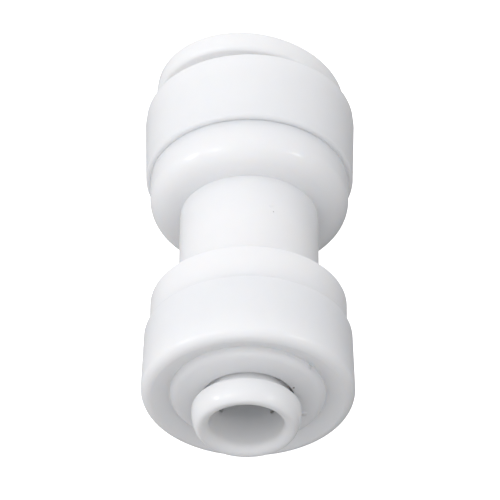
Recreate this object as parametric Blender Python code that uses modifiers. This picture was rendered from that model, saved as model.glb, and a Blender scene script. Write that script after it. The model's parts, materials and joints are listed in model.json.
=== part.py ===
"""Reducing push-fit coupling for water tube: 1/4 inch tube at one end, 3/8 inch at the other.

The coupling lies on its side. Its flow axis is Y: the 1/4 inch port faces -Y and the 3/8 inch
port faces +Y. Stations along the axis are given in metres from the small cap's front face, and
station() moves them into the part's own frame, whose origin is the centre of the whole coupling.
"""

import math

import bmesh
import bpy
from mathutils import Matrix, Vector

MM = 0.001
NAME = "push_fit_coupling"
TURN_STEPS = 40
SEAL_STEPS = 32
MERGE_DISTANCE = 0.001 * MM
SHARP_ANGLE = math.radians(28.0)

# Stations along the flow axis, from the small cap's front face towards the large end.
ORIGIN_STATION = 16.52 * MM
SMALL_COLLET_FRONT = -3.31 * MM
SMALL_COLLET_BACK = -1.04 * MM
SMALL_BOSS_FRONT = -0.1 * MM
SMALL_BOSS_BASE = 0.71 * MM
SMALL_SKIRT_END = 6.65 * MM
NECK_START = 10.4 * MM
NECK_END = 20.3 * MM
LARGE_SKIRT_END = 24.6 * MM
LARGE_CAP_FACE = 32.03 * MM

# Tube sockets.
SMALL_TUBE_R = 3.175 * MM
LARGE_TUBE_R = 4.7625 * MM
SEAT_CLEARANCE = 0.18 * MM
PASSAGE_R = 2.3 * MM
SMALL_STOP = 13.5 * MM
LARGE_STOP = 17.5 * MM
SMALL_SEAL_FLOOR = 9.45 * MM
LARGE_SEAL_FLOOR = 22.3 * MM
SMALL_SEAL_R = 5.25 * MM
LARGE_SEAL_R = 7.25 * MM

# Body.
SMALL_DRUM_R = 8.87 * MM
LARGE_DRUM_R = 9.17 * MM
NECK_R = 6.37 * MM
SHOULDER_FILLET = 2.1 * MM
SMALL_SHOULDER_FILLET = 0.25 * MM
SPIGOT_R = 8.3 * MM
SMALL_SPIGOT_BORE_R = 6.45 * MM
LARGE_SPIGOT_BORE_R = 7.66 * MM
SMALL_SPIGOT_FRONT = 2.25 * MM
LARGE_SPIGOT_FRONT = 30.3 * MM
FIT_GAP = 0.06 * MM
COLLAR_GAP = 0.12 * MM

# End caps.
SMALL_CAP_R = 9.5 * MM
SMALL_CAP_REAR_R = 9.35 * MM
SMALL_CAP_EDGE = 0.93 * MM
SMALL_BOSS_R = 6.95 * MM
SMALL_DISH_R = 7.3 * MM
SMALL_BOSS_EDGE = 0.75 * MM
SMALL_DISC_BACK = 2.1 * MM
SMALL_HOLE_R = 4.16 * MM
SMALL_LAND_END = 0.6 * MM
SMALL_COLLAR_R = 6.38 * MM
SMALL_COLLAR_END = 5.0 * MM
SMALL_CONE_R = 5.3 * MM
LARGE_CAP_R = 9.62 * MM
LARGE_CAP_RIM_R = 9.8 * MM
LARGE_CAP_TAPER = 0.07 * MM
LARGE_CAP_TAPER_LENGTH = 0.95 * MM
LARGE_CAP_EDGE = 0.2 * MM
LARGE_DISC_BACK = 30.45 * MM
LARGE_HOLE_R = 6.1 * MM
LARGE_LAND_END = 31.1 * MM
LARGE_COLLAR_R = 7.58 * MM
LARGE_COLLAR_END = 28.0 * MM
LARGE_CONE_R = 7.1 * MM

# Collets, loose in their caps and so a little off the axis. The large one is drawn square and
# pressed in, then rocked back on its rim.
SMALL_FLANGE_R = 4.85 * MM
SMALL_FLANGE_BACK_EDGE = 0.2 * MM
SMALL_NOSE_WIDTH = 0.55 * MM
SMALL_NOSE_LENGTH = 1.2 * MM
SMALL_MOUTH_WIDTH = 0.8 * MM
SMALL_MOUTH_LENGTH = 1.5 * MM
SMALL_BORE_R = 3.3 * MM
SMALL_COLLET_OFFSET = -0.12 * MM
SMALL_STEM_R = 3.85 * MM
SMALL_HEAD_R = 4.5 * MM
SMALL_TIP = 5.2 * MM
SMALL_HEAD_LENGTH = 1.9 * MM
SMALL_HEAD_RAMP = 0.8 * MM
SMALL_SLIT_DEPTH = 5.0 * MM
SMALL_SLIT_WIDTH = 0.8 * MM
SMALL_FINGERS = 4
LARGE_FLANGE_R = 8.89 * MM
LARGE_FLANGE_THICKNESS = 2.2 * MM
LARGE_FLANGE_EDGE = 0.5 * MM
LARGE_BORE_R = 4.95 * MM
LARGE_STEM_R = 5.65 * MM
LARGE_HEAD_R = 6.1 * MM
LARGE_PRESSED_BACK = 32.13 * MM
LARGE_PRESSED_TIP = 25.8 * MM
LARGE_HEAD_LENGTH = 1.3 * MM
LARGE_HEAD_RAMP = 0.9 * MM
LARGE_SLIT_DEPTH = 5.2 * MM
LARGE_SLIT_WIDTH = 0.8 * MM
LARGE_FINGERS = 8
LARGE_MOUTH_EDGE = 0.3 * MM
LARGE_COLLET_OFFSET = -0.2 * MM
CUT_OVERRUN = 0.5 * MM
ROCK_ANGLE = math.radians(6.75)
LEAN_ANGLE = math.radians(-17.0)

# Gripping teeth: stainless blades set in windows of the fingers.
TOOTH_THICKNESS = 0.35 * MM
TOOTH_REACH = 0.2 * MM
TOOTH_LEAN = math.radians(25.0)
TOOTH_EDGE = 0.05 * MM
TOOTH_INSET = 0.2 * MM
WINDOW_GAP = 0.1 * MM
SMALL_TOOTH_WIDTH = 1.8 * MM
LARGE_TOOTH_WIDTH = 1.6 * MM
SMALL_TOOTH_STATION = 3.9 * MM
LARGE_TOOTH_STATION = 26.7 * MM

# Seals and spacer washers.
SMALL_RING_SECTION_R = 1.0 * MM
SMALL_RING_R = 4.02 * MM
SMALL_RING_STATION = 8.35 * MM
LARGE_RING_SECTION_R = 1.2 * MM
LARGE_RING_R = 5.82 * MM
LARGE_RING_STATION = 23.6 * MM
SMALL_WASHER_END = 6.8 * MM
SMALL_WASHER_THICKNESS = 0.9 * MM
LARGE_WASHER_END = 25.68 * MM
LARGE_WASHER_THICKNESS = 0.8 * MM
WASHER_CLEARANCE = 0.15 * MM
WASHER_CHAMFER = 0.12 * MM

WHITE = (0.86, 0.86, 0.87, 1.0)
WARM_WHITE = (0.85, 0.85, 0.85, 1.0)
STEEL = (0.62, 0.62, 0.64, 1.0)
SEAL_BLACK = (0.02, 0.02, 0.022, 1.0)
WASHER_GREY = (0.72, 0.72, 0.70, 1.0)


def clear_scene():
    for old in list(bpy.data.objects):
        bpy.data.objects.remove(old, do_unlink=True)


def make_collection(name):
    collection = bpy.data.collections.new(name)
    bpy.context.scene.collection.children.link(collection)
    return collection


def make_material(name, color, roughness, metallic=0.0):
    material = bpy.data.materials.new(name)
    material.use_nodes = True
    shader = material.node_tree.nodes["Principled BSDF"]
    shader.inputs["Base Color"].default_value = color
    shader.inputs["Roughness"].default_value = roughness
    shader.inputs["Metallic"].default_value = metallic
    return material


def station(value):
    """Frame Y of a station along the flow axis."""
    return value - ORIGIN_STATION


def oval_arc(centre_r, centre_y, width, length, start_deg, end_deg, steps=3):
    """Points of an oval edge; 0 degrees points away from the axis and 90 degrees towards +Y."""
    points = []
    for step in range(steps + 1):
        angle = math.radians(start_deg + (end_deg - start_deg) * step / steps)
        r = centre_r + width * math.cos(angle)
        points.append((r, centre_y + length * math.sin(angle)))
    return points


def arc(centre_r, centre_y, radius, start_deg, end_deg, steps=3):
    return oval_arc(centre_r, centre_y, radius, radius, start_deg, end_deg, steps)


def place(obj, collection, material):
    collection.objects.link(obj)
    obj.data.materials.append(material)
    obj.data.shade_smooth()
    obj.data.set_sharp_from_angle(angle=SHARP_ANGLE)
    return obj


def turned(name, outline, steps, collection, material):
    """Turns a closed outline of (radius, y) points about the Y axis.

    The outline runs down its outer side, from large y to small y, and back up its inner side.
    """
    mesh = bpy.data.meshes.new(name)
    vertices = [(r, y, 0.0) for r, y in outline]
    count = len(outline)
    edges = [(i, (i + 1) % count) for i in range(count)]
    mesh.from_pydata(vertices, edges, [])
    obj = place(bpy.data.objects.new(name, mesh), collection, material)
    screw = obj.modifiers.new("Turn", "SCREW")
    screw.axis = "Y"
    screw.angle = math.tau
    screw.steps = steps
    screw.render_steps = steps
    screw.use_merge_vertices = True
    screw.merge_threshold = MERGE_DISTANCE
    screw.use_smooth_shade = True
    return obj


def shape_box(name, size, matrix, collection):
    """A box mesh of the given size, with its placing baked into the vertices."""
    mesh = bpy.data.meshes.new(name)
    work = bmesh.new()
    bmesh.ops.create_cube(work, size=1.0, matrix=matrix @ Matrix.Diagonal((*size, 1.0)))
    work.to_mesh(mesh)
    work.free()
    obj = bpy.data.objects.new(name, mesh)
    collection.objects.link(obj)
    return obj


def cut(target, cutter):
    cutter.hide_render = True
    cutter.display_type = "WIRE"
    boolean = target.modifiers.new(cutter.name, "BOOLEAN")
    boolean.operation = "DIFFERENCE"
    boolean.solver = "EXACT"
    boolean.object = cutter


def body_outline():
    small_drum_front = station(SMALL_SKIRT_END + FIT_GAP)
    large_drum_rear = station(LARGE_SKIRT_END - FIT_GAP)
    shoulder_r = LARGE_DRUM_R - SHOULDER_FILLET
    small_shoulder_r = SMALL_DRUM_R - SMALL_SHOULDER_FILLET
    small_shoulder_y = station(NECK_START) - SMALL_SHOULDER_FILLET
    outline = [
        (SPIGOT_R, station(LARGE_SPIGOT_FRONT)),
        (SPIGOT_R, large_drum_rear),
        (LARGE_DRUM_R, large_drum_rear),
    ]
    outline += arc(shoulder_r, station(NECK_END) + SHOULDER_FILLET, SHOULDER_FILLET, 0.0, -90.0, 6)
    outline += [(NECK_R, station(NECK_END)), (NECK_R, station(NECK_START))]
    outline += arc(small_shoulder_r, small_shoulder_y, SMALL_SHOULDER_FILLET, 90.0, 0.0, 2)
    outline += [
        (SMALL_DRUM_R, small_drum_front),
        (SPIGOT_R, small_drum_front),
        (SPIGOT_R, station(SMALL_SPIGOT_FRONT)),
        (SMALL_SPIGOT_BORE_R, station(SMALL_SPIGOT_FRONT)),
        (SMALL_SPIGOT_BORE_R, station(SMALL_COLLAR_END + COLLAR_GAP)),
        (SMALL_SEAL_R, station(SMALL_COLLAR_END + COLLAR_GAP)),
        (SMALL_SEAL_R, station(SMALL_SEAL_FLOOR)),
        (SMALL_TUBE_R + SEAT_CLEARANCE, station(SMALL_SEAL_FLOOR)),
        (SMALL_TUBE_R + SEAT_CLEARANCE, station(SMALL_STOP)),
        (PASSAGE_R, station(SMALL_STOP)),
        (PASSAGE_R, station(LARGE_STOP)),
        (LARGE_TUBE_R + SEAT_CLEARANCE, station(LARGE_STOP)),
        (LARGE_TUBE_R + SEAT_CLEARANCE, station(LARGE_SEAL_FLOOR)),
        (LARGE_SEAL_R, station(LARGE_SEAL_FLOOR)),
        (LARGE_SEAL_R, station(LARGE_COLLAR_END - COLLAR_GAP)),
        (LARGE_SPIGOT_BORE_R, station(LARGE_COLLAR_END - COLLAR_GAP)),
        (LARGE_SPIGOT_BORE_R, station(LARGE_SPIGOT_FRONT)),
    ]
    return outline


def small_cap_outline():
    skirt_bore = SPIGOT_R + FIT_GAP
    boss_y = station(SMALL_BOSS_FRONT) + SMALL_BOSS_EDGE
    outline = [(SMALL_CAP_REAR_R, station(SMALL_SKIRT_END))]
    outline += arc(SMALL_CAP_R - SMALL_CAP_EDGE, station(SMALL_CAP_EDGE), SMALL_CAP_EDGE, 0.0, -90.0)
    outline += [
        (SMALL_DISH_R, station(SMALL_BOSS_BASE)),
        (SMALL_BOSS_R, station(SMALL_BOSS_BASE)),
    ]
    outline += arc(SMALL_BOSS_R - SMALL_BOSS_EDGE, boss_y, SMALL_BOSS_EDGE, 0.0, -90.0)
    outline += [
        (SMALL_HOLE_R, station(SMALL_BOSS_FRONT)),
        (SMALL_HOLE_R, station(SMALL_LAND_END)),
        (SMALL_CONE_R, station(SMALL_COLLAR_END)),
        (SMALL_COLLAR_R, station(SMALL_COLLAR_END)),
        (SMALL_COLLAR_R, station(SMALL_DISC_BACK)),
        (skirt_bore, station(SMALL_DISC_BACK)),
        (skirt_bore, station(SMALL_SKIRT_END)),
    ]
    return outline


def large_cap_outline():
    skirt_bore = SPIGOT_R + FIT_GAP
    edge_r = LARGE_CAP_RIM_R - LARGE_CAP_TAPER - LARGE_CAP_EDGE
    edge_y = station(LARGE_CAP_FACE) - LARGE_CAP_EDGE
    outline = arc(edge_r, edge_y, LARGE_CAP_EDGE, 90.0, 0.0, 2)
    outline += [
        (LARGE_CAP_RIM_R, station(LARGE_CAP_FACE - LARGE_CAP_TAPER_LENGTH)),
        (LARGE_CAP_R, station(LARGE_SKIRT_END)),
        (skirt_bore, station(LARGE_SKIRT_END)),
        (skirt_bore, station(LARGE_DISC_BACK)),
        (LARGE_COLLAR_R, station(LARGE_DISC_BACK)),
        (LARGE_COLLAR_R, station(LARGE_COLLAR_END)),
        (LARGE_CONE_R, station(LARGE_COLLAR_END)),
        (LARGE_HOLE_R, station(LARGE_LAND_END)),
        (LARGE_HOLE_R, station(LARGE_CAP_FACE)),
    ]
    return outline


def small_collet_outline():
    front = station(SMALL_COLLET_FRONT)
    back = station(SMALL_COLLET_BACK)
    tip = station(SMALL_TIP)
    edge = SMALL_FLANGE_BACK_EDGE
    nose_r = SMALL_FLANGE_R - SMALL_NOSE_WIDTH
    mouth_r = SMALL_BORE_R + SMALL_MOUTH_WIDTH
    outline = [
        (SMALL_HEAD_R, tip),
        (SMALL_HEAD_R, tip - SMALL_HEAD_LENGTH),
        (SMALL_STEM_R, tip - SMALL_HEAD_LENGTH - SMALL_HEAD_RAMP),
        (SMALL_STEM_R, back),
    ]
    outline += arc(SMALL_FLANGE_R - edge, back - edge, edge, 90.0, 0.0)
    outline += oval_arc(nose_r, front + SMALL_NOSE_LENGTH, SMALL_NOSE_WIDTH, SMALL_NOSE_LENGTH,
                        0.0, -90.0, 4)
    outline += oval_arc(mouth_r, front + SMALL_MOUTH_LENGTH, SMALL_MOUTH_WIDTH, SMALL_MOUTH_LENGTH,
                        -90.0, -180.0)
    outline += [(SMALL_BORE_R, tip)]
    return outline


def large_collet_outline():
    back = station(LARGE_PRESSED_BACK)
    front = back + LARGE_FLANGE_THICKNESS
    tip = station(LARGE_PRESSED_TIP)
    edge = LARGE_FLANGE_EDGE
    mouth = LARGE_MOUTH_EDGE
    outline = arc(LARGE_BORE_R + mouth, front - mouth, mouth, 180.0, 90.0)
    outline += arc(LARGE_FLANGE_R - edge, front - edge, edge, 90.0, 0.0)
    outline += arc(LARGE_FLANGE_R - edge, back + edge, edge, 0.0, -90.0)
    outline += [
        (LARGE_STEM_R, back),
        (LARGE_STEM_R, tip + LARGE_HEAD_LENGTH + LARGE_HEAD_RAMP),
        (LARGE_HEAD_R, tip + LARGE_HEAD_LENGTH),
        (LARGE_HEAD_R, tip),
        (LARGE_BORE_R, tip),
    ]
    return outline


def about_axis(angle):
    return Matrix.Rotation(angle, 4, "Y")


def cut_slits(collet, cutters, tip_y, direction, depth, width, reach, fingers):
    """Slits that part the collet's stem into springy fingers; direction is +1 if the tip is at +Y."""
    length = depth + CUT_OVERRUN
    middle = tip_y + direction * (CUT_OVERRUN - length / 2.0)
    size = (2.0 * (reach + CUT_OVERRUN), length, width)
    for index in range(fingers // 2):
        angle = math.pi * (2 * index + 1) / fingers
        matrix = Matrix.Translation((0.0, middle, 0.0)) @ about_axis(angle)
        cut(collet, shape_box(f"{collet.name}_slit_{index + 1}", size, matrix, cutters))


def tooth_matrix(angle, middle_r, tooth_y, direction):
    """Places a blade whose local X is radial, leaning so that its inner edge points up the tube."""
    around = Matrix.Translation((0.0, tooth_y, 0.0)) @ about_axis(angle)
    lean = Matrix.Rotation(direction * TOOTH_LEAN, 4, "Z")
    return around @ Matrix.Translation((middle_r, 0.0, 0.0)) @ lean


def add_teeth(collet, parts, cutters, steel, tooth_y, direction, inner_r, outer_r, width, count):
    """One stainless blade for each finger, in its own window through the finger."""
    middle_r = (inner_r + outer_r) / 2.0
    length = outer_r - inner_r
    blade_size = (length, TOOTH_THICKNESS, width)
    window_size = (length + 4.0 * CUT_OVERRUN, TOOTH_THICKNESS + 2.0 * WINDOW_GAP, width + 2.0 * WINDOW_GAP)
    label = collet.name.replace("collet", "tooth")
    for index in range(count):
        matrix = tooth_matrix(math.tau * index / count, middle_r, tooth_y, direction)
        cut(collet, shape_box(f"{collet.name}_window_{index + 1}", window_size, matrix, cutters))
        blade = shape_box(f"{label}_{index + 1}", blade_size, matrix, parts)
        blade.data.materials.append(steel)
        blade.parent = collet.parent
        blade.matrix_parent_inverse = collet.matrix_parent_inverse
        edge = blade.modifiers.new("Edge", "BEVEL")
        edge.width = TOOTH_EDGE
        edge.segments = 1


def ring_outline(ring_r, section_r, centre_y, steps=10):
    return arc(ring_r, centre_y, section_r, 90.0, 90.0 - 360.0, steps)[:-1]


def washer_outline(inner_r, outer_r, high_y, thickness):
    low_y = high_y - thickness
    return [
        (inner_r, high_y),
        (outer_r - WASHER_CHAMFER, high_y),
        (outer_r, high_y - WASHER_CHAMFER),
        (outer_r, low_y + WASHER_CHAMFER),
        (outer_r - WASHER_CHAMFER, low_y),
        (inner_r, low_y),
    ]


def add_pivot(name, location, collection):
    pivot = bpy.data.objects.new(name, None)
    pivot.location = location
    pivot.empty_display_size = 2.0 * MM
    collection.objects.link(pivot)
    return pivot


def hang_on(obj, pivot):
    """Parents an object drawn in frame coordinates to a pivot that stands away from the origin."""
    obj.parent = pivot
    obj.matrix_parent_inverse = Matrix.Translation(-pivot.location)


def hang_cutters(cutters, collet):
    for cutter in cutters.objects:
        if cutter.name.startswith(collet.name):
            hang_on(cutter, collet.parent)


def build_small_collet(parts, cutters, white, steel):
    seat = (0.0, station(SMALL_COLLET_BACK), 0.0)
    pivot = add_pivot("small_collet_pivot", seat, parts)
    collet = turned("small_collet", small_collet_outline(), TURN_STEPS, parts, white)
    hang_on(collet, pivot)
    cut_slits(collet, cutters, station(SMALL_TIP), 1.0, SMALL_SLIT_DEPTH, SMALL_SLIT_WIDTH,
              SMALL_HEAD_R, SMALL_FINGERS)
    add_teeth(collet, parts, cutters, steel, station(SMALL_TOOTH_STATION), -1.0,
              SMALL_TUBE_R - TOOTH_REACH, SMALL_HEAD_R - TOOTH_INSET, SMALL_TOOTH_WIDTH, SMALL_FINGERS)
    hang_cutters(cutters, collet)
    pivot.location.x = SMALL_COLLET_OFFSET


def build_large_collet(parts, cutters, white, steel):
    """The collet is drawn square to the axis, then rocked about the point where its rim touches."""
    lean = Vector((math.cos(LEAN_ANGLE), 0.0, math.sin(LEAN_ANGLE)))
    rim = Vector((0.0, station(LARGE_PRESSED_BACK), 0.0)) + lean * LARGE_FLANGE_R
    pivot = add_pivot("large_collet_pivot", rim, parts)
    collet = turned("large_collet", large_collet_outline(), TURN_STEPS, parts, white)
    hang_on(collet, pivot)
    cut_slits(collet, cutters, station(LARGE_PRESSED_TIP), -1.0, LARGE_SLIT_DEPTH, LARGE_SLIT_WIDTH,
              LARGE_HEAD_R, LARGE_FINGERS)
    add_teeth(collet, parts, cutters, steel, station(LARGE_TOOTH_STATION), 1.0,
              LARGE_TUBE_R - TOOTH_REACH, LARGE_HEAD_R - TOOTH_INSET, LARGE_TOOTH_WIDTH, LARGE_FINGERS)
    hang_cutters(cutters, collet)
    pivot.location.x += LARGE_COLLET_OFFSET
    rock_axis = lean.cross(Vector((0.0, 1.0, 0.0)))
    pivot.rotation_mode = "AXIS_ANGLE"
    pivot.rotation_axis_angle = (-ROCK_ANGLE, *rock_axis)


def build_seals(parts, rubber, plastic):
    """An O-ring round each tube, and the washer that holds it in its groove."""
    small_ring = ring_outline(SMALL_RING_R, SMALL_RING_SECTION_R, station(SMALL_RING_STATION))
    large_ring = ring_outline(LARGE_RING_R, LARGE_RING_SECTION_R, station(LARGE_RING_STATION))
    small_washer = washer_outline(SMALL_TUBE_R + WASHER_CLEARANCE, SMALL_SEAL_R - WASHER_CLEARANCE,
                                  station(SMALL_WASHER_END), SMALL_WASHER_THICKNESS)
    large_washer = washer_outline(LARGE_TUBE_R + WASHER_CLEARANCE, LARGE_SEAL_R - WASHER_CLEARANCE,
                                  station(LARGE_WASHER_END), LARGE_WASHER_THICKNESS)
    turned("small_o_ring", small_ring, SEAL_STEPS, parts, rubber)
    turned("large_o_ring", large_ring, SEAL_STEPS, parts, rubber)
    turned("small_spacer_washer", small_washer, SEAL_STEPS, parts, plastic)
    turned("large_spacer_washer", large_washer, SEAL_STEPS, parts, plastic)


def build():
    clear_scene()
    parts = make_collection(NAME)
    cutters = make_collection(NAME + "_cutters")
    white = make_material("acetal_white", WHITE, 0.35)
    collet_white = make_material("collet_white", WARM_WHITE, 0.38)
    steel = make_material("stainless_steel", STEEL, 0.3, 1.0)
    rubber = make_material("seal_rubber", SEAL_BLACK, 0.55)
    washer_plastic = make_material("washer_plastic", WASHER_GREY, 0.5)
    turned("body", body_outline(), TURN_STEPS, parts, white)
    turned("small_end_cap", small_cap_outline(), TURN_STEPS, parts, white)
    turned("large_end_cap", large_cap_outline(), TURN_STEPS, parts, white)
    build_small_collet(parts, cutters, collet_white, steel)
    build_large_collet(parts, cutters, collet_white, steel)
    build_seals(parts, rubber, washer_plastic)


build()
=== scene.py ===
"""Looks of a white reducing push-fit coupling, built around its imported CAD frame.

Every visible piece is a finely turned or cut mesh that stands for its CAD node and rides on the
same body. Stations run along the flow axis from the small cap's front rim, in millimetres.
"""

import json
import math

import bmesh
import bpy
from mathutils import Matrix, Vector


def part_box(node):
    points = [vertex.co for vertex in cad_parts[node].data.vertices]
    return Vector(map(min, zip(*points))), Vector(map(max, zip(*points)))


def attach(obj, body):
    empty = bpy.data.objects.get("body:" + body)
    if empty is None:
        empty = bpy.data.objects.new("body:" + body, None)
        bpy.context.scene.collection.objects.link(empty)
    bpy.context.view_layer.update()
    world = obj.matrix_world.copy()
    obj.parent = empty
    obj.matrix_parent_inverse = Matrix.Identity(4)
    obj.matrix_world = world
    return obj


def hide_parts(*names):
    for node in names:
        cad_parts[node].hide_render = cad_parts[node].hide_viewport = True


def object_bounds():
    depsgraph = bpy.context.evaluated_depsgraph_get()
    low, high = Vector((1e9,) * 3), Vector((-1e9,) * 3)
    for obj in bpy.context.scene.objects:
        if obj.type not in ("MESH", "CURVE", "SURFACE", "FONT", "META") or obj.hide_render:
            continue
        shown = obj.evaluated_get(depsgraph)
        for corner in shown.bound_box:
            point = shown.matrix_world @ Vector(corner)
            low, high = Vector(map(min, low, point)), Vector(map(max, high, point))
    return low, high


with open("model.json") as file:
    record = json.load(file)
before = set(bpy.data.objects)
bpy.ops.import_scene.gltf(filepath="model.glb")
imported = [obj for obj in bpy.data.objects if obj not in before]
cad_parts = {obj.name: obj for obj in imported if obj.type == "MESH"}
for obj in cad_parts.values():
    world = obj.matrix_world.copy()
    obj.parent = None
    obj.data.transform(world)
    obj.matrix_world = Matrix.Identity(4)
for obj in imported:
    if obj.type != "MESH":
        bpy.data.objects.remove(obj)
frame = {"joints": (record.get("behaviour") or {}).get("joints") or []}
CAD_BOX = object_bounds()

MM = 0.001
TURN_STEPS = 224
RING_STEPS = 160

# Stations and radii in millimetres. They are the CAD model's, apart from finer gaps and edges.
SMALL_SKIRT_END = 6.65
NECK_START = 10.4
NECK_END = 20.3
LARGE_SKIRT_END = 24.6
LARGE_CAP_FACE = 32.03
FIT_GAP = 0.02
COLLAR_GAP = 0.04
EDGE = 0.12
LARGE_SKIRT_EDGE = 0.32
SHARP_ANGLE = math.radians(32.0)

SMALL_STOP = 13.5
LARGE_STOP = 17.5
SMALL_SEAL_FLOOR = 9.45
LARGE_SEAL_FLOOR = 22.3
SMALL_SEAL_R = 5.25
LARGE_SEAL_R = 7.25
PASSAGE_R = 2.3
SMALL_SEAT_R = 3.355
LARGE_SEAT_R = 4.9425

SMALL_DRUM_R = 8.87
LARGE_DRUM_R = 9.17
NECK_R = 6.37
SHOULDER_FILLET = 2.1
SPIGOT_R = 8.3
SMALL_SPIGOT_BORE_R = 6.45
LARGE_SPIGOT_BORE_R = 7.66
SMALL_SPIGOT_FRONT = 2.25
LARGE_SPIGOT_FRONT = 30.3
SMALL_COLLAR_END = 5.0
LARGE_COLLAR_END = 28.0

SMALL_CAP_R = 9.5
SMALL_CAP_REAR_R = 9.35
SMALL_CAP_EDGE = 0.93
SMALL_BOSS_R = 6.95
SMALL_DISH_R = 7.3
SMALL_BOSS_BASE = 0.71
SMALL_BOSS_FRONT = -0.1
SMALL_BOSS_EDGE = 0.75
SMALL_DISC_BACK = 2.1
SMALL_HOLE_R = 4.16
SMALL_LAND_END = 0.6
SMALL_COLLAR_R = 6.38
SMALL_CONE_R = 5.3

LARGE_CAP_R = 9.62
LARGE_CAP_RIM_R = 9.8
LARGE_CAP_TAPER = 0.07
LARGE_CAP_TAPER_LENGTH = 0.95
LARGE_CAP_EDGE = 0.2
LARGE_DISC_BACK = 30.45
LARGE_HOLE_R = 6.1
LARGE_LAND_END = 31.1
LARGE_COLLAR_R = 7.58
LARGE_CONE_R = 7.1

SMALL_COLLET_FRONT = -3.31
SMALL_COLLET_BACK = -1.04
SMALL_FLANGE_R = 4.85
SMALL_FLANGE_BACK_EDGE = 0.2
SMALL_NOSE_WIDTH = 0.72
SMALL_NOSE_LENGTH = 1.9
SMALL_MOUTH_WIDTH = 0.8
SMALL_MOUTH_LENGTH = 0.9
SMALL_BORE_R = 3.3
SMALL_STEM_R = 3.85
SMALL_HEAD_R = 4.5
SMALL_TIP = 5.2
SMALL_HEAD_LENGTH = 1.9
SMALL_HEAD_RAMP = 0.8
SMALL_SLIT_DEPTH = 5.0
SLIT_WIDTH = 0.8

LARGE_FLANGE_R = 8.89
LARGE_FLANGE_THICKNESS = 2.2
LARGE_FLANGE_EDGE = 0.5
LARGE_FLANGE_BACK_LENGTH = 2.4 * LARGE_FLANGE_EDGE
LARGE_MOUTH_EDGE = 0.3
LARGE_COLLET_OFFSET = -0.2
LARGE_BORE_R = 4.95
LARGE_STEM_R = 5.65
LARGE_HEAD_R = 6.1
LARGE_PRESSED_BACK = 32.13
LARGE_PRESSED_TIP = 25.8
LARGE_HEAD_LENGTH = 1.3
LARGE_HEAD_RAMP = 0.9
LARGE_SLIT_DEPTH = 5.2

TOOTH_THICKNESS = 0.35
TOOTH_LEAN = math.radians(25.0)
WINDOW_GAP = 0.1
SMALL_TOOTH = {"station": 3.9, "inner": 2.975, "outer": 4.3, "width": 1.8, "count": 4, "turn": -1.0}
LARGE_TOOTH = {"station": 26.7, "inner": 4.5625, "outer": 5.9, "width": 1.6, "count": 8, "turn": 1.0}

SMALL_RING = {"r": 4.02, "section": 1.0, "station": 8.35}
SMALL_WASHER_R = 3.325
LARGE_WASHER_R = 4.9125
LARGE_RING = {"r": 5.82, "section": 1.2, "station": 23.6}

# Nubs of flash and gates: radius, station, degrees about the axis, size and height.
NUBS = (
    (7.0, 0.45, 39.0, 0.30, 0.16),
    (5.4, -0.1, -22.5, 0.34, 0.10),
    (9.35, 32.0, 76.0, 0.28, 0.12),
    (6.37, 17.0, 72.0, 0.20, 0.05),
)

# Dark specks, partly painted shadow and partly a real mark. The first three are painted shadow in the gaps
# where the collet flanges meet the boss face and the large cap face; the last is a mark on the neck. Radius,
# station, degrees about the axis and size.
DIRT_AND_GAP_SHADE_COLOR = (0.09, 0.08, 0.07, 1)
DIRT_AND_GAP_SHADE_SPECKS = (
    # Painted shadow in the gap between the small collet's flange and the boss face.
    (4.45, -0.1, 25.5, 0.13),
    # Painted shadow where the large collet's flange meets the cap face, in two places.
    (8.9, 32.0, 74.0, 0.12),
    (8.9, 32.0, 56.0, 0.16),
    # A mark on the neck itself.
    (6.37, 16.4, 70.0, 0.06),
)

# Whites of the mouldings, dark and light, and how far light spreads inside them, in metres.
CAP_WHITES = ((0.925, 0.93, 0.945, 1), (0.955, 0.96, 0.975, 1))
COLLET_WHITES = ((0.935, 0.935, 0.94, 1), (0.96, 0.96, 0.96, 1))
GLOW_DEPTH = 0.0018

# Shaded sides of the light tent: direction, start and end of the fade as cosines, and what is left.
TENT_SHADES = (
    ((1.0, 0.0, -0.55), 0.3, 0.95, 0.3),
    ((0.0, -1.0, -0.6), 0.2, 0.95, 0.55),
    ((0.0, 0.0, -1.0), -0.1, 0.8, 0.6),
)

ORIGIN_STATION = SMALL_SKIRT_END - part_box("small_end_cap")[1].y / MM


def point(radius, station):
    """A profile point in metres: radius from the flow axis, and frame Y of a station."""
    return (radius * MM, (station - ORIGIN_STATION) * MM)


def oval(radius, station, width, length, start, end, steps=12):
    """An oval edge; 0 degrees points away from the axis and 90 degrees towards the large port."""
    points = []
    for step in range(steps + 1):
        angle = math.radians(start + (end - start) * step / steps)
        points.append(point(radius + width * math.cos(angle), station + length * math.sin(angle)))
    return points


def arc(radius, station, size, start, end, steps=12):
    return oval(radius, station, size, size, start, end, steps)


# ---------------------------------------------------------------- materials

def new_material(name):
    material = bpy.data.materials.new(name)
    material.use_nodes = True
    nodes = material.node_tree.nodes
    nodes.clear()
    output = nodes.new("ShaderNodeOutputMaterial")
    shader = nodes.new("ShaderNodeBsdfPrincipled")
    material.node_tree.links.new(shader.outputs["BSDF"], output.inputs["Surface"])
    return material, shader


def add(material, kind, **values):
    """Adds a node and sets its named inputs and its own settings."""
    node = material.node_tree.nodes.new(kind)
    for key, value in values.items():
        if key in node.inputs:
            node.inputs[key].default_value = value
        else:
            setattr(node, key, value)
    return node


def link(material, source, target):
    material.node_tree.links.new(source, target)


def place_noise(material, scale, detail, stretch=(1.0, 1.0, 1.0)):
    """Noise in object space, optionally stretched, so that it moves with the piece."""
    coords = add(material, "ShaderNodeTexCoord")
    mapping = add(material, "ShaderNodeMapping", Scale=stretch)
    texture = add(material, "ShaderNodeTexNoise", Scale=scale, Detail=detail, Roughness=0.55)
    link(material, coords.outputs["Object"], mapping.inputs["Vector"])
    link(material, mapping.outputs["Vector"], texture.inputs["Vector"])
    return texture


def remap(material, value, low, high):
    node = add(material, "ShaderNodeMapRange")
    node.inputs["To Min"].default_value = low
    node.inputs["To Max"].default_value = high
    link(material, value, node.inputs["Value"])
    return node.outputs["Result"]


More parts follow.
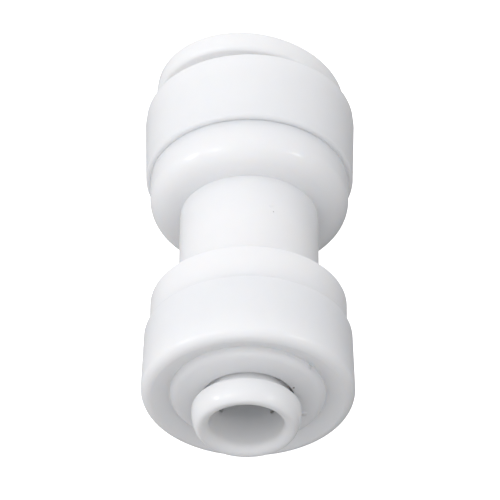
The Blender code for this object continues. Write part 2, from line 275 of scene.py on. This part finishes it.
def two_tone(material, value, dark, light, low=0.3, high=0.7):
    ramp = add(material, "ShaderNodeValToRGB")
    ramp.color_ramp.elements[0].position = low
    ramp.color_ramp.elements[0].color = dark
    ramp.color_ramp.elements[1].position = high
    ramp.color_ramp.elements[1].color = light
    link(material, value, ramp.inputs["Fac"])
    return ramp.outputs["Color"]


def add_bump(material, shader, heights):
    """Chains bumps: each entry is (height socket, strength, depth in metres)."""
    previous = None
    for height, strength, depth in heights:
        bump = add(material, "ShaderNodeBump", Strength=strength, Distance=depth)
        link(material, height, bump.inputs["Height"])
        if previous is not None:
            link(material, previous, bump.inputs["Normal"])
        previous = bump.outputs["Normal"]
    link(material, previous, shader.inputs["Normal"])


def spot(material, position, size):
    """A round mask in object space: 1 at the position, fading to 0 at the size's edge."""
    radius, station, degrees = position
    r, y = point(radius, station)
    angle = math.radians(degrees)
    coords = add(material, "ShaderNodeTexCoord")
    reach = add(material, "ShaderNodeVectorMath", operation="DISTANCE")
    reach.inputs[1].default_value = (r * math.cos(angle), y, r * math.sin(angle))
    link(material, coords.outputs["Object"], reach.inputs[0])
    fade = add(material, "ShaderNodeMapRange", interpolation_type="SMOOTHSTEP")
    fade.inputs["From Min"].default_value = 0.35 * size * MM
    fade.inputs["From Max"].default_value = size * MM
    fade.inputs["To Min"].default_value = 1.0
    fade.inputs["To Max"].default_value = 0.0
    link(material, reach.outputs["Value"], fade.inputs["Value"])
    return fade.outputs["Result"]


# A mix node's colour sockets share their names with its number sockets, so they go by place.
MIX_COLOR_A, MIX_COLOR_B, MIX_COLOR_RESULT = 6, 7, 2


def with_dirt_and_gap_shade(material, color):
    """The given colour with a few dark specks laid over it: painted shadow in the flange gaps, and a mark on
    the neck.
    """
    for radius, station, degrees, size in DIRT_AND_GAP_SHADE_SPECKS:
        mix = add(material, "ShaderNodeMix", data_type="RGBA")
        mix.inputs[MIX_COLOR_B].default_value = DIRT_AND_GAP_SHADE_COLOR
        link(material, spot(material, (radius, station, degrees), size), mix.inputs["Factor"])
        link(material, color, mix.inputs[MIX_COLOR_A])
        color = mix.outputs[MIX_COLOR_RESULT]
    return color


def acetal_material(name, dark, light, roughness):
    """White moulded acetal: faint clouding, satin flow marks, a fine orange peel, nubs, a neck mark and
    specks of painted shadow in the flange gaps.
    """
    material, shader = new_material(name)
    cloud = place_noise(material, 140.0, 3.0)
    flow = place_noise(material, 420.0, 4.0, (1.0, 0.22, 1.0))
    peel = place_noise(material, 2600.0, 2.0)
    rings = place_noise(material, 900.0, 2.0, (0.12, 3.0, 0.12))
    # The cloud tone with a neck mark and specks of painted shadow at the flange gaps laid over it.
    color = with_dirt_and_gap_shade(material, two_tone(material, cloud.outputs["Fac"], dark, light))
    link(material, color, shader.inputs["Base Color"])
    link(material, remap(material, flow.outputs["Fac"], roughness - 0.07, roughness + 0.09),
         shader.inputs["Roughness"])
    add_bump(material, shader, [
        (cloud.outputs["Fac"], 0.10, 0.00012),
        (flow.outputs["Fac"], 0.10, 0.00003),
        (rings.outputs["Fac"], 0.08, 0.00002),
        (peel.outputs["Fac"], 0.12, 0.00001),
        *[(spot(material, nub[:3], nub[3]), 1.0, nub[4] * MM) for nub in NUBS],
    ])
    shader.inputs["Subsurface Weight"].default_value = 0.7
    shader.inputs["Subsurface Radius"].default_value = (1.0, 0.9, 0.8)
    shader.inputs["Subsurface Scale"].default_value = GLOW_DEPTH
    shader.inputs["IOR"].default_value = 1.48
    shader.inputs["Coat Weight"].default_value = 0.45
    shader.inputs["Coat Roughness"].default_value = 0.13
    return material


def rubber_material():
    material, shader = new_material("seal_rubber")
    mottle = place_noise(material, 500.0, 4.0)
    grain = place_noise(material, 4200.0, 3.0)
    dark, light = (0.012, 0.012, 0.013, 1), (0.03, 0.03, 0.032, 1)
    link(material, two_tone(material, mottle.outputs["Fac"], dark, light), shader.inputs["Base Color"])
    link(material, remap(material, mottle.outputs["Fac"], 0.42, 0.66), shader.inputs["Roughness"])
    add_bump(material, shader, [(grain.outputs["Fac"], 0.3, 0.00001)])
    return material


def washer_material():
    material, shader = new_material("washer_plastic")
    tone = place_noise(material, 300.0, 4.0)
    grain = place_noise(material, 3000.0, 3.0)
    link(material, two_tone(material, tone.outputs["Fac"], (0.60, 0.60, 0.57, 1), (0.73, 0.73, 0.70, 1)),
         shader.inputs["Base Color"])
    link(material, remap(material, tone.outputs["Fac"], 0.45, 0.62), shader.inputs["Roughness"])
    add_bump(material, shader, [(grain.outputs["Fac"], 0.25, 0.00001)])
    return material


def steel_material():
    """Stamped stainless strip, with the rolling direction across each blade."""
    material, shader = new_material("stainless_steel")
    rolling = place_noise(material, 1500.0, 4.0, (0.15, 4.0, 0.15))
    stain = place_noise(material, 700.0, 3.0)
    dark, light = (0.50, 0.50, 0.51, 1), (0.66, 0.66, 0.67, 1)
    link(material, two_tone(material, stain.outputs["Fac"], dark, light), shader.inputs["Base Color"])
    link(material, remap(material, rolling.outputs["Fac"], 0.2, 0.42), shader.inputs["Roughness"])
    add_bump(material, shader, [(rolling.outputs["Fac"], 0.25, 0.000008)])
    shader.inputs["Metallic"].default_value = 1.0
    return material


# ---------------------------------------------------------------- mesh helpers

def finish_mesh(name, work, material):
    mesh = bpy.data.meshes.new(name)
    work.to_mesh(mesh)
    work.free()
    mesh.materials.append(material)
    mesh.shade_smooth()
    mesh.set_sharp_from_angle(angle=SHARP_ANGLE)
    obj = bpy.data.objects.new(name, mesh)
    bpy.context.scene.collection.objects.link(obj)
    return obj


def turned(name, outline, material, steps=TURN_STEPS):
    """Turns a closed outline about the Y axis. It runs down its outer side, from large to small Y."""
    work = bmesh.new()
    rows = []
    for step in range(steps):
        angle = math.tau * step / steps
        cos, sin = math.cos(angle), math.sin(angle)
        rows.append([work.verts.new((r * cos, y, r * sin)) for r, y in outline])
    count = len(outline)
    for step in range(steps):
        here, beside = rows[step], rows[(step + 1) % steps]
        for i in range(count):
            j = (i + 1) % count
            work.faces.new((here[i], beside[i], beside[j], here[j]))
    bmesh.ops.recalc_face_normals(work, faces=work.faces)
    return finish_mesh(name, work, material)


def box_cutter(size, matrix):
    work = bmesh.new()
    bmesh.ops.create_cube(work, size=1.0, matrix=matrix @ Matrix.Diagonal((*size, 1.0)))
    mesh = bpy.data.meshes.new("cutter")
    work.to_mesh(mesh)
    work.free()
    obj = bpy.data.objects.new("cutter", mesh)
    bpy.context.scene.collection.objects.link(obj)
    return obj


def slot_cutter(length, width, height, matrix):
    """A cutter along local Y with a round end at +Y: the shape a slit's end has."""
    work = bmesh.new()
    steps = 12
    outline = [(-width / 2.0, -length), (width / 2.0, -length)]
    for step in range(steps + 1):
        angle = math.pi * step / steps
        outline.append((width / 2.0 * math.cos(angle), width / 2.0 * math.sin(angle) - width / 2.0))
    bottom = [work.verts.new((-height, y, x)) for x, y in outline]
    top = [work.verts.new((height, y, x)) for x, y in outline]
    count = len(outline)
    work.faces.new(bottom)
    work.faces.new(top[::-1])
    for i in range(count):
        j = (i + 1) % count
        work.faces.new((bottom[j], bottom[i], top[i], top[j]))
    bmesh.ops.recalc_face_normals(work, faces=work.faces)
    bmesh.ops.transform(work, matrix=matrix, verts=work.verts)
    mesh = bpy.data.meshes.new("cutter")
    work.to_mesh(mesh)
    work.free()
    obj = bpy.data.objects.new("cutter", mesh)
    bpy.context.scene.collection.objects.link(obj)
    return obj


def cut_away(target, cutters):
    for cutter in cutters:
        boolean = target.modifiers.new("cut", "BOOLEAN")
        boolean.operation = "DIFFERENCE"
        boolean.solver = "EXACT"
        boolean.object = cutter
    depsgraph = bpy.context.evaluated_depsgraph_get()
    mesh = bpy.data.meshes.new_from_object(target.evaluated_get(depsgraph))
    old = target.data
    target.modifiers.clear()
    target.data = mesh
    bpy.data.meshes.remove(old)
    for cutter in cutters:
        bpy.data.objects.remove(cutter)
    target.data.shade_smooth()
    target.data.set_sharp_from_angle(angle=SHARP_ANGLE)


def about_axis(angle):
    return Matrix.Rotation(angle, 4, "Y")


def settle(obj, node, body, placing=None):
    """Puts a piece where its node is, shows it in the node's place and lets it ride on the body."""
    if placing is not None:
        obj.data.transform(placing)
    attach(obj, body)
    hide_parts(node)


# ---------------------------------------------------------------- fixed pieces

def body_outline():
    outline = [point(SPIGOT_R, LARGE_SPIGOT_FRONT), point(SPIGOT_R, LARGE_SKIRT_END - FIT_GAP)]
    outline += arc(LARGE_DRUM_R - EDGE, LARGE_SKIRT_END - FIT_GAP - EDGE, EDGE, 90, 0, 5)
    outline += arc(LARGE_DRUM_R - SHOULDER_FILLET, NECK_END + SHOULDER_FILLET, SHOULDER_FILLET,
                   0, -90, 30)
    outline += [point(NECK_R, NECK_END), point(NECK_R, NECK_START)]
    outline += arc(SMALL_DRUM_R - 2 * EDGE, NECK_START - 2 * EDGE, 2 * EDGE, 90, 0, 6)
    outline += arc(SMALL_DRUM_R - EDGE, SMALL_SKIRT_END + FIT_GAP + EDGE, EDGE, 0, -90, 5)
    outline += [
        point(SPIGOT_R, SMALL_SKIRT_END + FIT_GAP),
        point(SPIGOT_R, SMALL_SPIGOT_FRONT),
        point(SMALL_SPIGOT_BORE_R, SMALL_SPIGOT_FRONT),
        point(SMALL_SPIGOT_BORE_R, SMALL_COLLAR_END + COLLAR_GAP),
        point(SMALL_SEAL_R, SMALL_COLLAR_END + COLLAR_GAP),
        point(SMALL_SEAL_R, SMALL_SEAL_FLOOR),
        point(SMALL_SEAT_R + EDGE, SMALL_SEAL_FLOOR),
        point(SMALL_SEAT_R, SMALL_SEAL_FLOOR + EDGE),
        point(SMALL_SEAT_R, SMALL_STOP),
        point(PASSAGE_R + EDGE, SMALL_STOP),
        point(PASSAGE_R, SMALL_STOP + EDGE),
        point(PASSAGE_R, LARGE_STOP - EDGE),
        point(PASSAGE_R + EDGE, LARGE_STOP),
        point(LARGE_SEAT_R, LARGE_STOP),
        point(LARGE_SEAT_R, LARGE_SEAL_FLOOR - EDGE),
        point(LARGE_SEAT_R + EDGE, LARGE_SEAL_FLOOR),
        point(LARGE_SEAL_R, LARGE_SEAL_FLOOR),
        point(LARGE_SEAL_R, LARGE_COLLAR_END - COLLAR_GAP),
        point(LARGE_SPIGOT_BORE_R, LARGE_COLLAR_END - COLLAR_GAP),
        point(LARGE_SPIGOT_BORE_R, LARGE_SPIGOT_FRONT),
    ]
    return outline


def small_cap_outline():
    skirt_bore = SPIGOT_R + FIT_GAP
    boss_centre = SMALL_BOSS_FRONT + SMALL_BOSS_EDGE
    lip = 0.1
    outline = arc(SMALL_CAP_REAR_R - EDGE, SMALL_SKIRT_END - EDGE, EDGE, 90, 0, 5)
    outline += arc(SMALL_CAP_R - SMALL_CAP_EDGE, SMALL_CAP_EDGE, SMALL_CAP_EDGE, 0, -90, 20)
    outline += [point(SMALL_DISH_R, SMALL_BOSS_BASE), point(SMALL_BOSS_R, SMALL_BOSS_BASE)]
    outline += arc(SMALL_BOSS_R - SMALL_BOSS_EDGE, boss_centre, SMALL_BOSS_EDGE, 0, -90, 18)
    outline += arc(SMALL_HOLE_R + lip, SMALL_BOSS_FRONT + lip, lip, -90, -180, 5)
    outline += [
        point(SMALL_HOLE_R, SMALL_LAND_END),
        point(SMALL_CONE_R, SMALL_COLLAR_END),
        point(SMALL_COLLAR_R, SMALL_COLLAR_END),
        point(SMALL_COLLAR_R, SMALL_DISC_BACK),
        point(skirt_bore, SMALL_DISC_BACK),
        point(skirt_bore, SMALL_SKIRT_END),
    ]
    return outline


def large_cap_outline():
    skirt_bore = SPIGOT_R + FIT_GAP
    edge_r = LARGE_CAP_RIM_R - LARGE_CAP_TAPER - LARGE_CAP_EDGE
    lip = 0.15
    outline = arc(LARGE_HOLE_R + lip, LARGE_CAP_FACE - lip, lip, 180, 90, 5)
    outline += arc(edge_r, LARGE_CAP_FACE - LARGE_CAP_EDGE, LARGE_CAP_EDGE, 90, 0, 8)
    outline += [point(LARGE_CAP_RIM_R, LARGE_CAP_FACE - LARGE_CAP_TAPER_LENGTH)]
    outline += arc(LARGE_CAP_R - LARGE_SKIRT_EDGE, LARGE_SKIRT_END + LARGE_SKIRT_EDGE,
                   LARGE_SKIRT_EDGE, 0, -90, 10)
    outline += [
        point(skirt_bore, LARGE_SKIRT_END),
        point(skirt_bore, LARGE_DISC_BACK),
        point(LARGE_COLLAR_R, LARGE_DISC_BACK),
        point(LARGE_COLLAR_R, LARGE_COLLAR_END),
        point(LARGE_CONE_R, LARGE_COLLAR_END),
        point(LARGE_HOLE_R, LARGE_LAND_END),
    ]
    return outline


def build_fixed(white):
    for node, outline in (("body", body_outline()), ("small_end_cap", small_cap_outline()),
                          ("large_end_cap", large_cap_outline())):
        settle(turned("fine_" + node, outline, white), node, "fitting")


# ---------------------------------------------------------------- collets and teeth

def small_collet_outline():
    outline = [point(SMALL_HEAD_R, SMALL_TIP), point(SMALL_HEAD_R, SMALL_TIP - SMALL_HEAD_LENGTH)]
    outline += [point(SMALL_STEM_R, SMALL_TIP - SMALL_HEAD_LENGTH - SMALL_HEAD_RAMP)]
    outline += [point(SMALL_STEM_R, SMALL_COLLET_BACK)]
    back = SMALL_FLANGE_BACK_EDGE
    nose_r = SMALL_FLANGE_R - SMALL_NOSE_WIDTH
    mouth_r = SMALL_BORE_R + SMALL_MOUTH_WIDTH
    outline += arc(SMALL_FLANGE_R - back, SMALL_COLLET_BACK - back, back, 90, 0, 14)
    outline += oval(nose_r, SMALL_COLLET_FRONT + SMALL_NOSE_LENGTH, SMALL_NOSE_WIDTH, SMALL_NOSE_LENGTH,
                    0, -90, 20)
    outline += oval(mouth_r, SMALL_COLLET_FRONT + SMALL_MOUTH_LENGTH, SMALL_MOUTH_WIDTH,
                    SMALL_MOUTH_LENGTH, -90, -180, 14)
    outline += [point(SMALL_BORE_R, SMALL_TIP)]
    return outline


def large_collet_outline():
    front = LARGE_PRESSED_BACK + LARGE_FLANGE_THICKNESS
    edge, lip = LARGE_FLANGE_EDGE, LARGE_MOUTH_EDGE
    outline = arc(LARGE_BORE_R + lip, front - lip, lip, 180, 90, 8)
    outline += arc(LARGE_FLANGE_R - edge, front - edge, edge, 90, 0, 14)
    outline += oval(LARGE_FLANGE_R - edge, LARGE_PRESSED_BACK + LARGE_FLANGE_BACK_LENGTH, edge,
                    LARGE_FLANGE_BACK_LENGTH, 0, -90, 18)
    outline += [
        point(LARGE_STEM_R, LARGE_PRESSED_BACK),
        point(LARGE_STEM_R, LARGE_PRESSED_TIP + LARGE_HEAD_LENGTH + LARGE_HEAD_RAMP),
        point(LARGE_HEAD_R, LARGE_PRESSED_TIP + LARGE_HEAD_LENGTH),
        point(LARGE_HEAD_R, LARGE_PRESSED_TIP),
        point(LARGE_BORE_R, LARGE_PRESSED_TIP),
    ]
    return outline


def slit_cutters(tip, direction, depth, reach, fingers):
    """Slits from the tip towards the flange, with round ends; direction is the tip's way along Y."""
    over = 0.5
    end = (tip - direction * depth - ORIGIN_STATION) * MM
    turn = Matrix.Identity(4) if direction < 0 else Matrix.Rotation(math.pi, 4, "Z")
    cutters = []
    for index in range(fingers // 2):
        angle = about_axis(math.pi * (2 * index + 1) / fingers)
        matrix = Matrix.Translation((0.0, end, 0.0)) @ angle @ turn
        cutters.append(slot_cutter((depth + over) * MM, SLIT_WIDTH * MM, reach * MM, matrix))
    return cutters


def tooth_matrix(tooth, index):
    middle = (tooth["inner"] + tooth["outer"]) / 2.0 * MM
    lean = Matrix.Rotation(tooth["turn"] * TOOTH_LEAN, 4, "Z")
    along = (tooth["station"] - ORIGIN_STATION) * MM
    angle = math.tau * index / tooth["count"]
    return (Matrix.Translation((0.0, along, 0.0)) @ about_axis(angle)
            @ Matrix.Translation((middle, 0.0, 0.0)) @ lean)


def window_cutters(tooth):
    length = (tooth["outer"] - tooth["inner"]) * MM
    gap = 2.0 * WINDOW_GAP * MM
    size = (length * 3.0, TOOTH_THICKNESS * MM + gap, tooth["width"] * MM + gap)
    return [box_cutter(size, tooth_matrix(tooth, index)) for index in range(tooth["count"])]


def blade(name, tooth, index, steel):
    """A stamped blade: a flat strip with its inner edge ground to a chisel and its corners eased."""
    length = (tooth["outer"] - tooth["inner"]) * MM
    half_t, half_w = TOOTH_THICKNESS * MM / 2.0, tooth["width"] * MM / 2.0
    work = bmesh.new()
    bmesh.ops.create_cube(work, size=1.0)
    bmesh.ops.subdivide_edges(work, edges=work.edges[:], cuts=7, use_grid_fill=True)
    for vertex in work.verts:
        x, y, z = vertex.co * 2.0
        grind = max(0.0, -x - 0.4) / 0.6
        corner = 1.0 - 0.10 * max(0.0, abs(x) - 0.7) / 0.3
        thin = 1.0 - 0.75 * grind
        vertex.co = Vector((x * length / 2.0, y * half_t * thin, z * half_w * corner))
    edges = [e for e in work.edges if e.calc_face_angle(0.0) > math.radians(50.0)]
    bmesh.ops.bevel(work, geom=edges, offset=0.02 * MM, segments=2, affect="EDGES", clamp_overlap=True)
    bmesh.ops.transform(work, matrix=tooth_matrix(tooth, index), verts=work.verts)
    return finish_mesh(name, work, steel)


def build_collet(label, outline, tooth, tip, direction, depth, reach, placing, materials):
    collet_white, steel = materials
    node = label + "_collet"
    body = label + "_release"
    collet = turned("fine_" + node, outline, collet_white)
    cut_away(collet, slit_cutters(tip, direction, depth, reach, tooth["count"]) + window_cutters(tooth))
    settle(collet, node, body, placing)
    for index in range(tooth["count"]):
        tooth_node = f"{label}_tooth_{index + 1}"
        settle(blade("fine_" + tooth_node, tooth, index, steel), tooth_node, body, placing)


def build_collets(collet_white, steel):
    low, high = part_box("small_collet")
    aside = Matrix.Translation(((low.x + high.x) / 2.0, 0.0, 0.0))
    build_collet("small", small_collet_outline(), SMALL_TOOTH, SMALL_TIP, 1.0, SMALL_SLIT_DEPTH,
                 SMALL_HEAD_R + 1.0, aside, (collet_white, steel))
    press = next(j for j in frame["joints"] if j["name"] == "large_collet_press")
    rim = Matrix.Translation(Vector(press["pos_m"]))
    rock = Matrix.Rotation(-math.radians(press["range_deg"][1]), 4, Vector(press["axis"]))
    aside = Matrix.Translation((LARGE_COLLET_OFFSET * MM, 0.0, 0.0))
    build_collet("large", large_collet_outline(), LARGE_TOOTH, LARGE_PRESSED_TIP, -1.0, LARGE_SLIT_DEPTH,
                 LARGE_HEAD_R + 1.0, rim @ rock @ rim.inverted() @ aside, (collet_white, steel))


# ---------------------------------------------------------------- seals and washers

def ring_outline(ring):
    """A round section with the thin flash line that a moulded seal keeps round its middle."""
    steps = 48
    points = []
    for step in range(steps):
        angle = math.radians(90.0 - 360.0 * step / steps)
        flash = 1.0 if step in (steps // 4, 3 * steps // 4) else 0.985
        points.append(point(ring["r"] + ring["section"] * flash * math.cos(angle),
                            ring["station"] + ring["section"] * flash * math.sin(angle)))
    return points


def washer_outline(node, inner):
    low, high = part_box(node)
    outer = high.x / MM
    front, back = high.y / MM + ORIGIN_STATION, low.y / MM + ORIGIN_STATION
    chamfer = 0.12
    outline = arc(outer - chamfer, front - chamfer, chamfer, 90, 0, 6)
    outline += arc(outer - chamfer, back + chamfer, chamfer, 0, -90, 6)
    outline += arc(inner + chamfer, back + chamfer, chamfer, -90, -180, 6)
    outline += arc(inner + chamfer, front - chamfer, chamfer, 180, 90, 6)
    return outline


def build_seals(rubber, washer_plastic):
    for label, ring, inner in (("small", SMALL_RING, SMALL_WASHER_R), ("large", LARGE_RING, LARGE_WASHER_R)):
        node = label + "_o_ring"
        settle(turned("fine_" + node, ring_outline(ring), rubber, RING_STEPS), node, "fitting")
        node = label + "_spacer_washer"
        washer = turned("fine_" + node, washer_outline(node, inner), washer_plastic, RING_STEPS)
        settle(washer, node, label + "_washer")


# ---------------------------------------------------------------- stage, lights and camera

def stage_material(name, strength):
    material, shader = new_material(name)
    shader.inputs["Base Color"].default_value = (0.9, 0.9, 0.9, 1)
    shader.inputs["Emission Color"].default_value = (1, 1, 1, 1)
    shader.inputs["Emission Strength"].default_value = strength
    shader.inputs["Roughness"].default_value = 0.9
    return material


def build_stage():
    """A pale floor under the coupling, and a pale surround for the low views."""
    floor_z = CAD_BOX[0][2]
    work = bmesh.new()
    bmesh.ops.create_grid(work, x_segments=1, y_segments=1, size=3.0,
                          matrix=Matrix.Translation((0.0, 0.0, floor_z)))
    floor = finish_mesh("floor", work, stage_material("floor_white", 1.0))
    floor.visible_diffuse = False
    floor.visible_glossy = False
    floor.visible_shadow = False
    work = bmesh.new()
    bmesh.ops.create_uvsphere(work, u_segments=48, v_segments=24, radius=2.9)
    bmesh.ops.reverse_faces(work, faces=work.faces)
    surround = finish_mesh("surround", work, stage_material("surround_white", 1.0))
    for flag in ("visible_diffuse", "visible_glossy", "visible_transmission", "visible_shadow"):
        setattr(surround, flag, False)


def area_light(name, place, aim, size, power, color=(1.0, 1.0, 1.0)):
    light = bpy.data.lights.new(name, "AREA")
    light.shape = "RECTANGLE"
    light.size, light.size_y = size
    light.energy = power
    light.color = color
    obj = bpy.data.objects.new(name, light)
    obj.location = place
    obj.rotation_euler = (Vector(aim) - Vector(place)).to_track_quat("-Z", "Y").to_euler()
    bpy.context.scene.collection.objects.link(obj)


def shaded_side(world, nodes, direction, start, end, dim):
    """A smooth dark patch of the surround about one direction, as a factor from 1 down to dim."""
    links = world.node_tree.links
    coords = nodes.new("ShaderNodeTexCoord")
    dot = nodes.new("ShaderNodeVectorMath")
    dot.operation = "DOT_PRODUCT"
    dot.inputs[1].default_value = Vector(direction).normalized()
    links.new(coords.outputs["Generated"], dot.inputs[0])
    fade = nodes.new("ShaderNodeMapRange")
    fade.interpolation_type = "SMOOTHSTEP"
    fade.inputs["From Min"].default_value = start
    fade.inputs["From Max"].default_value = end
    fade.inputs["To Min"].default_value = 1.0
    fade.inputs["To Max"].default_value = dim
    links.new(dot.outputs["Value"], fade.inputs["Value"])
    return fade.outputs["Result"]


def build_lights():
    """A white tent all round, shaded at lower right, low in front and below, and four soft lights."""
    world = bpy.data.worlds.new("studio")
    bpy.context.scene.world = world
    world.use_nodes = True
    nodes = world.node_tree.nodes
    links = world.node_tree.links
    background = nodes["Background"]
    background.inputs["Color"].default_value = (0.85, 0.85, 0.866, 1.0)
    strength = None
    for direction, start, end, dim in TENT_SHADES:
        factor = shaded_side(world, nodes, direction, start, end, dim)
        if strength is None:
            strength = factor
            continue
        both = nodes.new("ShaderNodeMath")
        both.operation = "MULTIPLY"
        links.new(strength, both.inputs[0])
        links.new(factor, both.inputs[1])
        strength = both.outputs["Value"]
    links.new(strength, background.inputs["Strength"])
    area_light("key", (-0.30, -0.05, 0.42), (0, 0, 0), (0.10, 0.10), 0.20)
    area_light("left", (-0.42, 0.02, 0.22), (0, 0, 0), (0.10, 0.10), 0.24)
    area_light("right", (0.40, -0.05, 0.34), (0, 0, 0), (0.10, 0.10), 0.17)
    area_light("front", (-0.06, -0.52, 0.30), (0, 0, 0), (0.3, 0.3), 0.16)
    bpy.context.scene.view_settings.view_transform = "Standard"


def build_camera():
    """Looks down on the small port from in front and above, at 52 degrees over the flow axis."""
    elevation = 0.9098
    distance = 0.29260
    aside = 0.094
    aim_station = 16.68
    target = Vector((aside * MM, (aim_station - ORIGIN_STATION) * MM, 0.0))
    away = Vector((0.0, -math.cos(elevation), math.sin(elevation)))
    camera = bpy.data.cameras.new("camera")
    camera.sensor_width = 36.0
    camera.lens = 230.4
    camera.clip_start = 0.01
    camera.clip_end = 20.0
    obj = bpy.data.objects.new("camera", camera)
    obj.location = target + away * distance
    roll = Matrix.Rotation(0.0069, 4, "Z")
    obj.rotation_mode = "QUATERNION"
    look = (-away).to_track_quat("-Z", "Y")
    obj.rotation_quaternion = (look.to_matrix().to_4x4() @ roll).to_quaternion()
    bpy.context.scene.collection.objects.link(obj)
    bpy.context.scene.camera = obj


def build():
    white = acetal_material("acetal_white", *CAP_WHITES, 0.34)
    collet_white = acetal_material("collet_white", *COLLET_WHITES, 0.38)
    build_fixed(white)
    build_collets(collet_white, steel_material())
    build_seals(rubber_material(), washer_material())
    build_stage()
    build_lights()
    build_camera()


build()
bpy.context.view_layer.update()
